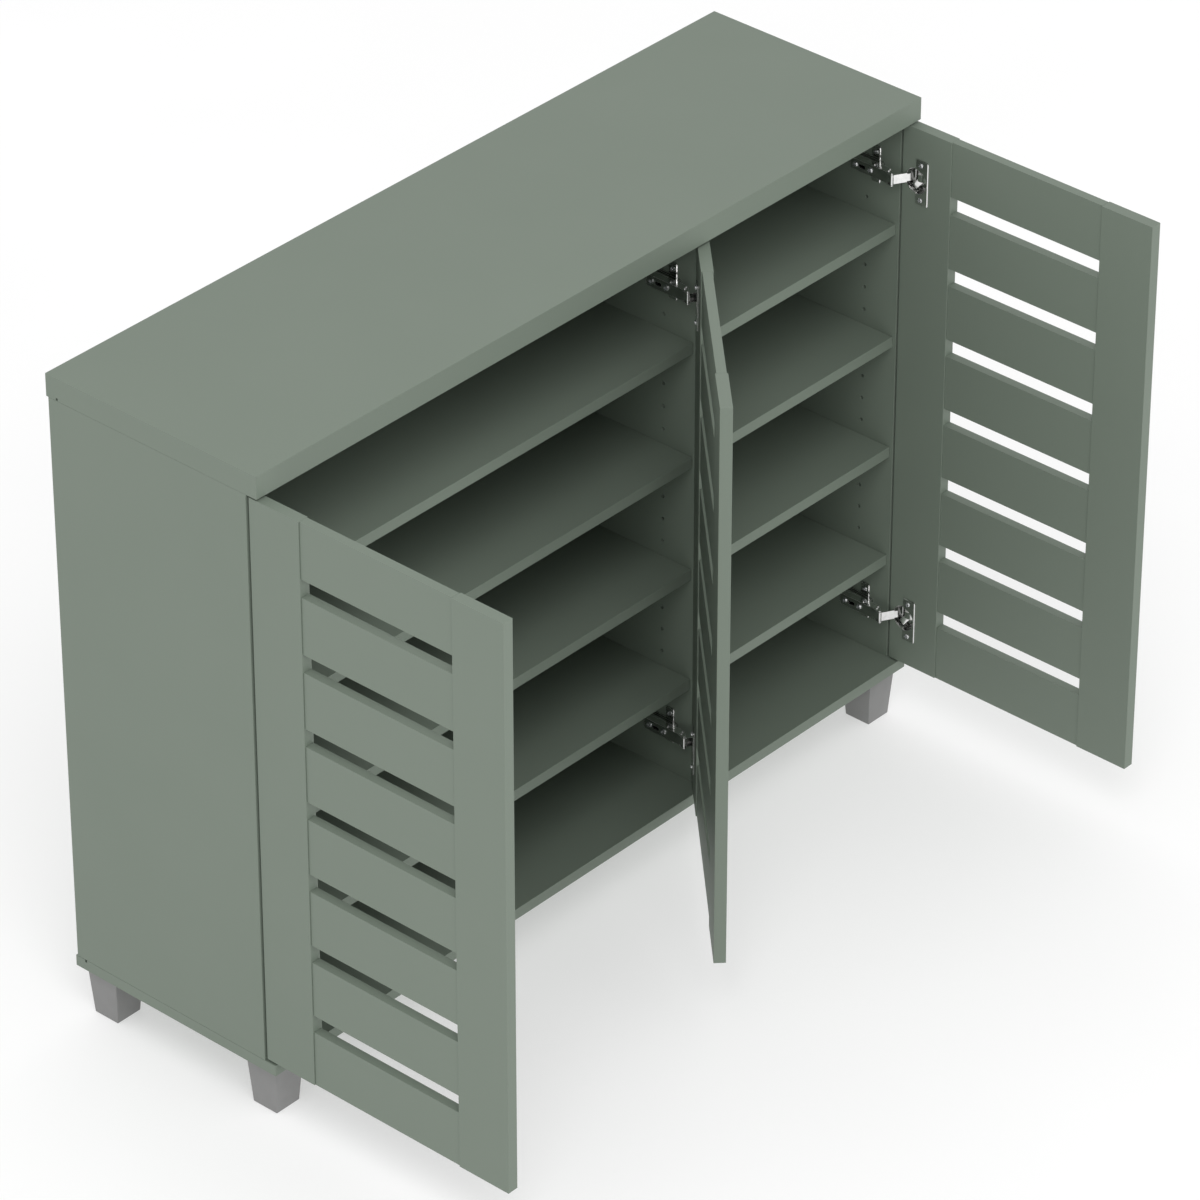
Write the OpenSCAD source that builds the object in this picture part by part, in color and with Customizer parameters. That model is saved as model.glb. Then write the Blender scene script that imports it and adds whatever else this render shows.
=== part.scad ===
// Low, wide cupboard with three slotted doors, two bays of shelves and four tapered feet.
// The doors are drawn as they stand in the picture: the outer two at a right angle, the middle
// one half open. Inside a module, x runs across from the middle of the cabinet, y runs back from
// the front edge of the worktop, and z runs up from the floor.

/* [Cabinet] */
// Width of the worktop and the base
cabinet_w = 1150; // [1000:10:1400]
// Depth of the worktop and the base
cabinet_d = 330; // [290:5:450]
// Height of the sides, between the base and the worktop
side_h = 780; // [700:10:960]
// Thickness of the worktop
worktop_t = 30; // [22:1:45]
// Thickness of every other carcass board
board_t = 15; // [15:0.5:19]
// How far the worktop runs past the sides at the rear
rear_overhang = 3; // [0:0.5:8]
// Thickness of the back panel
back_t = 3; // [2.5:0.1:4]
// From the worktop's rear edge to the middle of the back panel
back_in = 17; // [14:0.5:24]
// Depth of the grooves that hold the back panel
groove_depth = 3.5; // [3:0.5:7]

/* [Doors] */
// Gap between the end of the cabinet and a door
end_gap = 1.5; // [1:0.1:3]
// Room left between two doors when one swings past the other
door_spare = 0.6; // [0.5:0.1:3]
// Room left between a door's turning edge and the side's front edge
swing_clear = 0.2; // [0.2:0.1:3]
// Gap above and below a door
door_clear = 3; // [2:0.1:6]
// Thickness of the upright stiles
stile_t = 15; // [14:0.5:18]
// Width of the upright stiles
stile_w = 76; // [70:1:100]
// Thickness of the rails and slats
slat_t = 12; // [9:0.5:14]
// Height of each open slot
slot_h = 24; // [16:1:40]
// Number of slots in a door
slot_count = 7; // [3:1:9]
// Radius on the stile edge that turns past the side's front edge
stile_edge_r = 2; // [1:0.1:4]
// Angle by which the outer doors stand open
outer_open = 90; // [0:1:95]
// Angle by which the middle door stands open
middle_open = 45; // [0:1:95]

/* [Shelves] */
// Number of shelves in each bay
shelf_count = 4; // [2:1:4]
// Thickness of a shelf
shelf_t = 15; // [12:1:18]
// How far a shelf stands back from the front edge of the sides
shelf_set_back = 5; // [2:0.5:30]
// Distance between the rows of pin holes
pin_pitch = 32; // [28:1:40]
// Height of the first pin hole above the base
pin_first = 109; // [96:1:120]
// Plain height left above the last pin hole
pin_top_clear = 127; // [110:1:160]
// Radius of a shelf pin
pin_r = 2.5; // [2:0.1:3]
// From a side's front edge to the front pin holes
pin_front_in = 52; // [45:1:70]
// From the back panel to the rear pin holes
pin_rear_in = 50; // [40:1:80]

/* [Feet] */
// Height of a foot
foot_h = 70; // [50:1:120]
// Width of a foot at its top
foot_top = 48; // [40:1:60]
// Width of a foot on the floor
foot_bottom = 38; // [30:1:40]
// From the edges of the base to the middle of a foot
foot_in = 33; // [30:1:50]

/* [Hinges] */
// From the top of a door to the middle of its upper hinge
hinge_top_in = 72; // [60:1:100]
// From the bottom of a door to the middle of its lower hinge
hinge_low_in = 68; // [60:1:100]
// From the door's hinge edge to the middle of the cup
cup_in = 23.5; // [22:0.5:26]
// Radius of the cup hole in the door
cup_hole_r = 17.5; // [16.5:0.1:18.5]
// From a panel's face to the pin at the front of a hinge arm
arm_pin_h = 19.5; // [19:0.1:21]

/* [Hidden] */
$fn = 48;

// Small allowances
over = 1;
fit = 0.05;
board_fit = 0.1;
shelf_gap = 0.5;
hole_spare = 0.5;

// Heights and depths of the carcass
base_z = foot_h;
base_top = base_z + board_t;
worktop_z = base_top + side_h;
side_rear = cabinet_d - rear_overhang;
back_y = cabinet_d - back_in - back_t / 2;
groove_y = back_y - board_fit;
groove_w = back_t + 2 * board_fit;
groove_cut = groove_depth + board_fit;
half_w = cabinet_w / 2;
inner_half_w = half_w - board_t;

// The upright line that a door turns about: its distance from the hinge edge and the inner face
pivot_s = 7;
pivot_behind = 8;
pivot_n = stile_t - pivot_behind;

// The door's inner edge turns just in front of the sides, and its outer edge past the next door
edge_reach = norm([pivot_s - stile_edge_r, pivot_behind - stile_edge_r]) + stile_edge_r;
side_y = pivot_n + edge_reach + swing_clear;
door_gap = norm([pivot_s, pivot_n]) - pivot_s + door_spare;

// Doors, left to right: each has its hinge edge, the way it lies from there, and its opening
door_w = (cabinet_w - 2 * end_gap - 2 * door_gap) / 3;
door_h = side_h - 2 * door_clear;
door_z = base_top + door_clear;
left_edge = -half_w + end_gap;
middle_edge = left_edge + 2 * door_w + door_gap;
right_edge = half_w - end_gap;
hinge_edge_at = [left_edge, middle_edge, right_edge];
door_side = [1, -1, -1];
door_open = [outer_open, middle_open, outer_open];

// The frame's origin is on the floor, midway between the rear edge and the open doors' free edges
open_reach = door_w - pivot_s - pivot_n;
front_y = (open_reach - cabinet_d) / 2;

// The partition stands behind the gap between the middle and the right door
partition_x = middle_edge + door_gap / 2;
panel_x = [-half_w + board_t / 2, partition_x, half_w - board_t / 2];

// Boards and slots of a door
door_board_h = (door_h - slot_count * slot_h) / (slot_count + 1);
door_board_step = door_board_h + slot_h;
door_board_l = door_w - 2 * stile_w;
slat_n = (stile_t - slat_t) / 2;
door_dowel_r = 3;
door_dowel_l = 30;
door_dowel_spread = door_board_h / 2;
stile_mid_n = stile_t / 2;

// Shelf pins and their rows
pin_rows = floor((side_h - pin_first - pin_top_clear) / pin_pitch) + 1;
first_shelf_row = 1;
shelf_row_step = round(side_h / (shelf_count + 1) / pin_pitch);
pin_in = 6.5;
pin_out = 8;
pin_sink = 4;
pin_ys = [side_y + pin_front_in, back_y - pin_rear_in];
shelf_y = side_y + shelf_set_back;
shelf_d = back_y - shelf_gap - shelf_y;
bay_left = [-inner_half_w, partition_x + board_t / 2];
bay_right = [partition_x - board_t / 2, inner_half_w];

// Dowels, cam fasteners and screws of the carcass
dowel_r = 4;
dowel_l = 30;
dowel_bite = 10;
dowel_end_in = 38;
dowel_ys = [side_y + dowel_end_in, back_y - dowel_end_in];
fastener_end_in = 73;
fastener_ys = [side_y + fastener_end_in, back_y - fastener_end_in];
cam_r = 7.5;
cam_l = 12.2;
cam_drop = 34;
cam_slot_w = 1.2;
cam_slot_l = 8;
cam_slot_depth = 2;
cam_z = worktop_z - cam_drop;
bolt_r = 3;
bolt_bite = 11;
bolt_sink = 2.5;
base_screw_r = 2.5;
base_screw_l = 50;
base_head_r = 5;
base_head_h = 3;
foot_screw_r = 2.5;
foot_screw_bite = 12;
foot_head_r = 5;
foot_head_h = 4;
foot_well_r = 7;
foot_screw_grip = 25;
foot_seat = foot_h - foot_screw_grip;
foot_x = half_w - foot_in;
foot_ys = [foot_in, cabinet_d - foot_in];
back_screw_r = 1.5;
back_screw_l = 18;
back_head_r = 3;
back_head_h = 1.5;
back_screw_count = 3;

// Hinge cup, its flange and its screws
hinge_zs = [door_z + hinge_low_in, door_z + door_h - hinge_top_in];
cup_depth = 12;
cup_wall = 0.8;
cup_r = cup_hole_r - board_fit;
cup_inner_r = cup_r - cup_wall;
cup_floor_n = stile_t - cup_depth;
flange_w = 19.2;
flange_h = 62;
flange_t = 1.8;
flange_corner_r = 3;
// Chamfer that is pressed round the outline of a flange or a wing
coin = 0.9;
flange_rim = 1;
flange_far = cup_in + cup_hole_r + flange_rim;
cup_screw_offset = 7;
cup_screw_in = cup_in + cup_screw_offset;
cup_screw_spread = 48;
cup_notch_w = 14;
cup_notch_depth = 9;
cup_notch_l = 8;
cup_lip_t = 1.2;
cup_lip_in = 2;
cup_axle_r = 1.1;
cup_axle_offset = 9;
cup_axle_lift = 2.4;
cup_block_w = 10;
cup_block_l = 13;
cup_block_offset = 4;
cup_block_low = 1.5;
cup_block_high = 5;

// Mounting plate, arm and link of a hinge; heights are from the panel's face
plate_t = 2;
plate_in = 23;
plate_l = 44;
plate_w = 18;
plate_y = side_y + plate_in;
wing_in = 30.3;
wing_w = 13.4;
wing_h = 51;
wing_corner_r = 3;
riser_w = 12.6;
riser_in = 1.5;
plate_screw_y = side_y + wing_in + wing_w / 2;
plate_screw_spread = 34;
arm_h = 19;
arm_t = 1.5;
arm_w = 15.5;
arm_in = 1;
arm_l = 62;
arm_y = side_y + arm_in;
arm_pin_y = stile_t;
arm_pin_r = 1.5;
cheek_t = 1.2;
cheek_low = 9;
cheek_rake = 14;
cheek_front_in = 6;
rivet_head = 1.4;
rivet_r = 1.6;
rivet_top_share = 0.55;
// Each rivet's height and place back, as shares of the arm's height and length
rivet_shares = [[0.86, 0.07], [0.65, 0.09], [0.86, 0.27], [0.84, 0.43]];
ear_r = 2.8;
arm_screw_in = 31.4;
arm_screw_step = 23.4;
arm_screw_ys = [arm_y + arm_screw_in, arm_y + arm_screw_in + arm_screw_step];
arm_slot_l = 10;
arm_slot_w = 5;
arm_slot_y = plate_y + (plate_l - arm_slot_l) / 2;
arm_screw_r = 2.4;
arm_screw_l = 12;
arm_head_r = 3.9;
arm_head_h = 1.9;
link_t = 1.8;
link_w = 12.5;
link_nose_w = 10;
link_nose_l = 4;
link_nose_r = 1.2;
link_eye_r = 2.4;
// Room between the rim of the cup hole and the end of a link laid straight across
link_rim_gap = [3, 1.25, 3];
// Direction of a link when its door is shut, and how far it turns while the door opens by 90
link_start = [13, 22, 13];
link_turn = [17, 24, 17];

// Wood screws of the hinges
wood_screw_r = 1.75;
wood_screw_l = 11;
wood_head_r = 3.3;
wood_head_h = 1.6;
cross_w = 0.9;
cross_share = 0.6;
head_top_share = 0.82;

painted = [0.49, 0.54, 0.47];
painted_inside = [0.42, 0.47, 0.41];
foot_grey = [0.55, 0.55, 0.54];
bright_metal = [0.78, 0.78, 0.77];
screw_metal = [0.66, 0.66, 0.65];
beech = [0.76, 0.62, 0.42];

door_names = ["left", "centre", "right"];
door_parts = ["hinge_stile", "free_stile", "top_rail", "bottom_rail", "slats", "door_dowels",
              "hinge_cups", "cup_screws", "mounting_plates", "hinge_arms", "hinge_links"];
shelf_names = [for (bay = ["wide", "narrow"]) for (k = [1 : shelf_count]) str(bay, "_bay_shelf_", k)];
foot_names = ["foot_front_left", "foot_front_right", "foot_rear_left", "foot_rear_right"];
carcass_names = ["worktop", "base_panel", "left_side", "right_side", "partition", "back_panel",
                 "shelf_pins", "foot_screws", "base_screws", "cam_fasteners", "cam_bolts",
                 "carcass_dowels", "back_screws", "plate_screws", "arm_screws"];
door_nodes = [for (door = door_names) for (piece = door_parts) str(door, "_", piece)];

// Moves a piece from the cabinet's own axes into the frame
module in_frame() {
    translate([0, front_y, 0]) children();
}

// A board between two corners
module board(low, high) {
    translate(low) cube(high - low);
}

// An upright hole or peg that starts at z and runs up by its length
module upright(x, y, z, r, length) {
    translate([x, y, z]) cylinder(r = r, h = length);
}

// A level hole or peg along x, centred on x
module crosswise(x, y, z, r, length) {
    translate([x - length / 2, y, z]) rotate([0, 90, 0]) cylinder(r = r, h = length);
}

// Cross recess that is cut into the top of a screw head
module cross_recess(head_r, head_h) {
    slot_l = 2 * head_r * cross_share;
    cut_h = head_h * cross_share;
    translate([-slot_l / 2, -cross_w / 2, -head_h - over]) cube([slot_l, cross_w, cut_h + over]);
    translate([-cross_w / 2, -slot_l / 2, -head_h - over]) cube([cross_w, slot_l, cut_h + over]);
}

// Screw whose head lies under z = 0 and whose shank runs up from there
module screw(r, length, head_r, head_h) {
    difference() {
        union() {
            cylinder(r = r, h = length);
            translate([0, 0, -head_h]) cylinder(r1 = head_top_share * head_r, r2 = head_r, h = head_h);
        }
        cross_recess(head_r, head_h);
    }
}

// Flat plate with round corners, centred, lying in the xy plane
module round_plate(width, depth, corner_r, thickness) {
    linear_extrude(thickness) {
        square([width - 2 * corner_r, depth], center = true);
        square([width, depth - 2 * corner_r], center = true);
        for (i = [-1, 1])
            for (j = [-1, 1])
                translate([i * (width / 2 - corner_r), j * (depth / 2 - corner_r)]) circle(corner_r);
    }
}

// Section of a coined plate, a little too large except where its top corners are taken off
module coined_section(width, thickness) {
    out = width / 2 + over;
    polygon([[-out, -over], [out, -over], [out, thickness - coin - over],
             [width / 2 - coin - over, thickness + over], [coin + over - width / 2, thickness + over],
             [-out, thickness - coin - over]]);
}

// Round plate whose straight top edges are coined
module coined_plate(width, depth, corner_r, thickness) {
    intersection() {
        round_plate(width, depth, corner_r, thickness);
        translate([0, depth / 2 + over, 0]) rotate([90, 0, 0])
            linear_extrude(depth + 2 * over) coined_section(width, thickness);
        translate([-width / 2 - over, 0, 0]) rotate([90, 0, 90])
            linear_extrude(width + 2 * over) coined_section(depth, thickness);
    }
}

// Places where the sides and the partition are fastened: every panel at each distance back
module at_panels(ys) {
    for (x = panel_x)
        for (y = ys)
            translate([x, y, 0]) children();
}

// Worktop, with the groove of the back panel and the holes for bolts and dowels in its underside
module worktop() {
    color(painted) in_frame() difference() {
        board([-half_w, 0, worktop_z], [half_w, cabinet_d, worktop_z + worktop_t]);
        board([-half_w - over, groove_y, worktop_z - over],
              [half_w + over, groove_y + groove_w, worktop_z + groove_cut]);
        at_panels(dowel_ys)
            upright(0, 0, worktop_z - over, dowel_r + fit, dowel_bite + hole_spare + over);
        at_panels(fastener_ys)
            upright(0, 0, worktop_z - over, bolt_r + fit, bolt_bite + hole_spare + over);
    }
}

// Base, with the groove, the dowel holes, the long screws' holes and the feet's pilot holes
module base_panel() {
    color(painted) in_frame() difference() {
        board([-half_w, 0, base_z], [half_w, cabinet_d, base_top]);
        board([-half_w - over, groove_y, base_top - groove_cut],
              [half_w + over, groove_y + groove_w, base_top + over]);
        at_panels(dowel_ys)
            upright(0, 0, base_top - dowel_bite - hole_spare, dowel_r + fit, dowel_bite + hole_spare + over);
        at_panels(fastener_ys) {
            upright(0, 0, base_z - over, base_screw_r + fit, board_t + 2 * over);
            upright(0, 0, base_z - over, base_head_r + board_fit, base_head_h + over);
        }
        for (x = [-foot_x, foot_x])
            for (y = foot_ys)
                upright(x, y, base_z - over, foot_screw_r + fit, foot_screw_bite + hole_spare + over);
    }
}

// Rows of blind pin holes in one face of a panel; the face is at x and the panel lies on its inward side
module pin_holes(x, inward) {
    depth = pin_in + hole_spare;
    for (row = [0 : pin_rows - 1])
        for (y = pin_ys)
            crosswise(x + inward * (depth - over) / 2, y, pin_row_z(row), pin_r + fit, depth + over);
}

function pin_row_z(row) = base_top + pin_first + row * pin_pitch;

// Holes in a panel's face for the wood screws of the mounting plates
module plate_screw_holes(x, inward) {
    depth = wood_screw_l - plate_t + hole_spare;
    for (z = hinge_zs)
        for (k = [-1, 1])
            crosswise(x + inward * (depth - over) / 2, plate_screw_y, z + k * plate_screw_spread / 2,
                      wood_screw_r + fit, depth + over);
}

// Dowel, bolt, cam and screw holes of one upright panel, whose cams sit in the face at cam_face
module panel_joint_holes(x, cam_face, inward) {
    dowel_cut = dowel_l - dowel_bite + hole_spare;
    screw_cut = base_screw_l - board_t + base_head_h + hole_spare;
    cam_cut = cam_l + board_fit;
    for (y = dowel_ys) {
        upright(x, y, worktop_z - dowel_cut, dowel_r + fit, dowel_cut + over);
        upright(x, y, base_top - over, dowel_r + fit, dowel_cut + over);
    }
    for (y = fastener_ys) {
        upright(x, y, cam_z, bolt_r + fit, cam_drop + over);
        upright(x, y, base_top - over, base_screw_r + fit, screw_cut + over);
        crosswise(cam_face + inward * (cam_cut - over) / 2, y, cam_z, cam_r + fit, cam_cut + over);
    }
}

// One side of the cabinet: side is -1 on the left and 1 on the right
module side_panel(side) {
    x = side * (half_w - board_t / 2);
    face = side * inner_half_w;
    groove_face = side * (inner_half_w + groove_cut);
    color(painted) in_frame() difference() {
        board([x - board_t / 2, side_y, base_top], [x + board_t / 2, side_rear, worktop_z]);
        board([min(groove_face, face - side * over), groove_y, base_top - over],
              [max(groove_face, face - side * over), groove_y + groove_w, worktop_z + over]);
        pin_holes(face, side);
        plate_screw_holes(face, side);
        panel_joint_holes(x, face, side);
    }
}

// Upright partition between the bays; the middle door hangs on its left face
module partition() {
    left_face = partition_x - board_t / 2;
    right_face = partition_x + board_t / 2;
    color(painted) in_frame() difference() {
        board([left_face, side_y, base_top], [right_face, back_y, worktop_z]);
        pin_holes(left_face, 1);
        pin_holes(right_face, -1);
        plate_screw_holes(left_face, 1);
        panel_joint_holes(partition_x, left_face, 1);
        for (z = back_screw_zs)
            translate([partition_x, back_y - back_screw_l - hole_spare + back_t, z])
                rotate([-90, 0, 0]) cylinder(r = back_screw_r + fit, h = back_screw_l + over);
    }
}

back_screw_zs = [for (k = [1 : back_screw_count]) base_top + k * side_h / (back_screw_count + 1)];

// Thin back panel, held in the grooves all round and screwed to the partition
module back_panel() {
    reach = inner_half_w + groove_depth;
    color(painted_inside) in_frame() difference() {
        board([-reach, back_y, base_top - groove_depth],
              [reach, back_y + back_t, worktop_z + groove_depth]);
        for (z = back_screw_zs)
            translate([partition_x, back_y - over, z])
                rotate([-90, 0, 0]) cylinder(r = back_screw_r + fit, h = back_t + 2 * over);
    }
}

// Screws that hold the back panel to the partition, driven in from behind
module back_screws() {
    color(screw_metal) in_frame()
        for (z = back_screw_zs)
            translate([partition_x, back_y + back_t, z])
                rotate([90, 0, 0]) screw(back_screw_r, back_screw_l, back_head_r, back_head_h);
}

// Row of pin holes that carries shelf k, counted from the bottom shelf
function shelf_row(k) = first_shelf_row + k * shelf_row_step;

// Height of a shelf's underside: the pins sit in notches, a little above it
function shelf_z(k) = pin_row_z(shelf_row(k)) - pin_sink;

// Notch in a shelf's underside that drops over a pin; x is the shelf's end
module pin_notch(x, inward, y, z) {
    notch_l = pin_out + board_fit;
    low_x = min(x - inward * over, x + inward * notch_l);
    high_x = max(x - inward * over, x + inward * notch_l);
    notch_r = pin_r + board_fit;
    board([low_x, y - notch_r, z - over], [high_x, y + notch_r, z + pin_sink]);
    crosswise((low_x + high_x) / 2, y, z + pin_sink, notch_r, high_x - low_x);
}

// One shelf: bay 0 is the wide one on the left, bay 1 the narrow one on the right
module shelf(bay, k) {
    low_x = bay_left[bay] + shelf_gap;
    high_x = bay_right[bay] - shelf_gap;
    z = shelf_z(k);
    color(painted) in_frame() difference() {
        board([low_x, shelf_y, z], [high_x, shelf_y + shelf_d, z + shelf_t]);
        for (y = pin_ys) {
            pin_notch(low_x, 1, y, z);
            pin_notch(high_x, -1, y, z);
        }
    }
}

// Shelf pins: four under each shelf, half in the panel and half in the shelf's notch
module shelf_pins() {
    mid = (pin_out - pin_in) / 2;
    color(screw_metal) in_frame()
        for (bay = [0, 1])
            for (k = [0 : shelf_count - 1])
                for (y = pin_ys) {
                    crosswise(bay_left[bay] + mid, y, shelf_z(k) + pin_sink, pin_r, pin_in + pin_out);
                    crosswise(bay_right[bay] - mid, y, shelf_z(k) + pin_sink, pin_r, pin_in + pin_out);
                }
}

// Outline of a foot seen from one side: it narrows towards the floor
module foot_outline() {
    polygon([[-foot_bottom / 2, 0], [foot_bottom / 2, 0], [foot_top / 2, foot_h], [-foot_top / 2, foot_h]]);
}

// Foot with a well from below for the head of its screw
module foot(x, y) {
    color(foot_grey) in_frame() translate([x, y, 0]) difference() {
        intersection() {
            translate([0, foot_top, 0]) rotate([90, 0, 0]) linear_extrude(2 * foot_top) foot_outline();
            translate([-foot_top, 0, 0]) rotate([90, 0, 90]) linear_extrude(2 * foot_top) foot_outline();
        }
        upright(0, 0, -over, foot_well_r, foot_seat + over);
        upright(0, 0, 0, foot_screw_r + fit, foot_h + over);
    }
}

// Screws that hold the feet, driven up from the wells into the base
module foot_screws() {
    color(screw_metal) in_frame()
        for (x = [-foot_x, foot_x])
            for (y = foot_ys)
                translate([x, y, foot_seat])
                    screw(foot_screw_r, foot_h - foot_seat + foot_screw_bite, foot_head_r, foot_head_h);
}

// Long screws from below, through the base into the sides and the partition
module base_screws() {
    color(screw_metal) in_frame()
        at_panels(fastener_ys)
            translate([0, 0, base_z + base_head_h])
                screw(base_screw_r, base_screw_l, base_head_r, base_head_h);
}

// Cam fasteners near the top of each panel; each is turned to pull its bolt down
module cam_fastener(face, inward, y) {
    color(screw_metal) difference() {
        crosswise(face + inward * cam_l / 2, y, cam_z, cam_r, cam_l);
        upright(face + inward * board_t / 2, y, cam_z - bolt_sink - board_fit, bolt_r + board_fit,
                2 * cam_r);
        board([min(face - inward * over, face + inward * cam_slot_depth), y - cam_slot_l / 2,
               cam_z - cam_slot_w / 2],
              [max(face - inward * over, face + inward * cam_slot_depth), y + cam_slot_l / 2,
               cam_z + cam_slot_w / 2]);
    }
}

module cam_fasteners() {
    in_frame()
        for (y = fastener_ys) {
            cam_fastener(-inner_half_w, -1, y);
            cam_fastener(inner_half_w, 1, y);
            cam_fastener(partition_x - board_t / 2, 1, y);
        }
}

// Bolts that stand in the worktop and reach down into the cams
module cam_bolts() {
    color(screw_metal) in_frame()
        at_panels(fastener_ys)
            upright(0, 0, cam_z - bolt_sink, bolt_r, bolt_sink + cam_drop + bolt_bite);
}

// Dowels at the top and bottom edges of the sides and the partition
module carcass_dowels() {
    color(beech) in_frame()
        at_panels(dowel_ys) {
            upright(0, 0, worktop_z + dowel_bite - dowel_l, dowel_r, dowel_l);
            upright(0, 0, base_top - dowel_bite, dowel_r, dowel_l);
        }
}

// Lays its children out from a door's hinge edge: s along x, away from the hinge edge,
// and n along y, back from the outer face of the shut door
module at_door(d) {
    translate([hinge_edge_at[d], 0, 0]) scale_side(door_side[d]) children();
}

module scale_side(side) {
    if (side > 0) children();
    else mirror([1, 0, 0]) children();
}

// The same, turned about the hinges to the angle at which the door stands
module on_door(d) {
    at_door(d) translate([pivot_s, pivot_n, 0]) rotate([0, 0, -door_open[d]])
        translate([-pivot_s, -pivot_n, 0]) children();
}

// Distance from a door's hinge edge to the face of the panel that carries it
function face_s(d) = d == 1 ? middle_edge - (partition_x - board_t / 2) : board_t - end_gap;

function door_board_z(i) = door_z + i * door_board_step;

// Dowels, or holes for them, between the boards first to last and both stiles
module door_dowel_set(first, last, r, length) {
    for (i = [first : last])
        for (s = [stile_w, door_w - stile_w])
            for (k = [-1, 1])
                crosswise(s, stile_mid_n, door_board_z(i) + door_board_h / 2 + k * door_dowel_spread / 2,
                          r, length);
}

module door_dowel_holes(first, last) {
    door_dowel_set(first, last, door_dowel_r + fit, door_dowel_l + 2 * hole_spare);
}

// Stile at the hinge side, with the cup holes and a round edge that clears the panel
module hinge_stile(d) {
    color(painted) in_frame() on_door(d) difference() {
        translate([0, 0, door_z]) linear_extrude(door_h) {
            square([stile_w, stile_t - stile_edge_r]);
            translate([stile_edge_r, 0]) square([stile_w - stile_edge_r, stile_t]);
            translate([stile_edge_r, stile_t - stile_edge_r]) circle(stile_edge_r);
        }
        door_dowel_holes(0, slot_count);
        for (z = hinge_zs) {
            translate([cup_in, stile_t + over, z]) rotate([90, 0, 0])
                cylinder(r = cup_hole_r, h = cup_depth + board_fit + over);
            for (k = [-1, 1])
                translate([cup_screw_in, stile_t + over, z + k * cup_screw_spread / 2]) rotate([90, 0, 0])
                    cylinder(r = wood_screw_r + fit, h = wood_screw_l - flange_t + hole_spare + over);
        }
    }
}

// Stile at the free side
module free_stile(d) {
    color(painted) in_frame() on_door(d) difference() {
        board([door_w - stile_w, 0, door_z], [door_w, stile_t, door_z + door_h]);
        door_dowel_holes(0, slot_count);
    }
}

// Boards first to last of a door, counted from the bottom; each is thinner than the stiles
module door_boards(d, first, last) {
    color(painted) in_frame() on_door(d) difference() {
        for (i = [first : last])
            board([stile_w, slat_n, door_board_z(i)],
                  [stile_w + door_board_l, slat_n + slat_t, door_board_z(i) + door_board_h]);
        door_dowel_holes(first, last);
    }
}

// Dowels that join a door's boards to its stiles
module door_dowels(d) {
    color(beech) in_frame() on_door(d)
        door_dowel_set(0, slot_count, door_dowel_r, door_dowel_l);
}

// Hinge cup with its flange, the notch in its wall, the straight lip of its rim that the link
// passes close by, and the axle and the bracket inside
module hinge_cup() {
    difference() {
        union() {
            translate([cup_in, stile_t, 0]) rotate([90, 0, 0]) cylinder(r = cup_r, h = cup_depth);
            translate([flange_far - flange_w / 2, stile_t, 0]) rotate([-90, 0, 0])
                coined_plate(flange_w, flange_h, flange_corner_r, flange_t);
        }
        translate([cup_in, stile_t + flange_t + over, 0]) rotate([90, 0, 0])
            cylinder(r = cup_inner_r, h = cup_depth + flange_t - cup_wall + over);
        board([cup_in - cup_hole_r - over, stile_t - cup_notch_depth, -cup_notch_w / 2],
              [cup_in - cup_hole_r + cup_notch_l, stile_t - cup_lip_t, cup_notch_w / 2]);
        for (k = [-1, 1])
            translate([cup_screw_in, stile_t + flange_t + over, k * cup_screw_spread / 2])
                rotate([90, 0, 0]) cylinder(r = wood_screw_r + fit, h = flange_t + 2 * over);
    }
    intersection() {
        translate([cup_in, stile_t, 0]) rotate([90, 0, 0]) cylinder(r = cup_r, h = cup_lip_t);
        board([cup_in - cup_hole_r, 0, -cup_notch_w / 2],
              [cup_in - cup_hole_r + cup_lip_in, stile_t, cup_notch_w / 2]);
    }
    axle_half = sqrt(cup_inner_r * cup_inner_r - cup_axle_offset * cup_axle_offset) + cup_wall / 2;
    upright(cup_in - cup_axle_offset, cup_floor_n + cup_axle_lift, -axle_half, cup_axle_r, 2 * axle_half);
    translate([cup_in - cup_block_offset, cup_floor_n, -cup_block_w / 2]) linear_extrude(cup_block_w)
        polygon([[0, 0], [cup_block_l, 0], [cup_block_l, cup_block_low],
                 [cup_block_high, cup_block_high], [0, cup_block_high]]);
}

module hinge_cups(d) {
    color(bright_metal) in_frame() on_door(d)
        for (z = hinge_zs)
            translate([0, 0, z]) hinge_cup();
}

// Wood screws through the flanges of the cups
module cup_screws(d) {
    color(screw_metal) in_frame() on_door(d)
        for (z = hinge_zs)
            for (k = [-1, 1])
                translate([cup_screw_in, stile_t + flange_t, z + k * cup_screw_spread / 2])
                    rotate([90, 0, 0]) screw(wood_screw_r, wood_screw_l, wood_head_r, wood_head_h);
}

// Lays its children out from the panel's face at every hinge of a door: x away from the face,
// y back from the worktop's front edge, and z from the middle of the hinge
module at_hinges(d) {
    in_frame() at_door(d)
        for (z = hinge_zs)
            translate([face_s(d), 0, z]) children();
}

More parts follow.
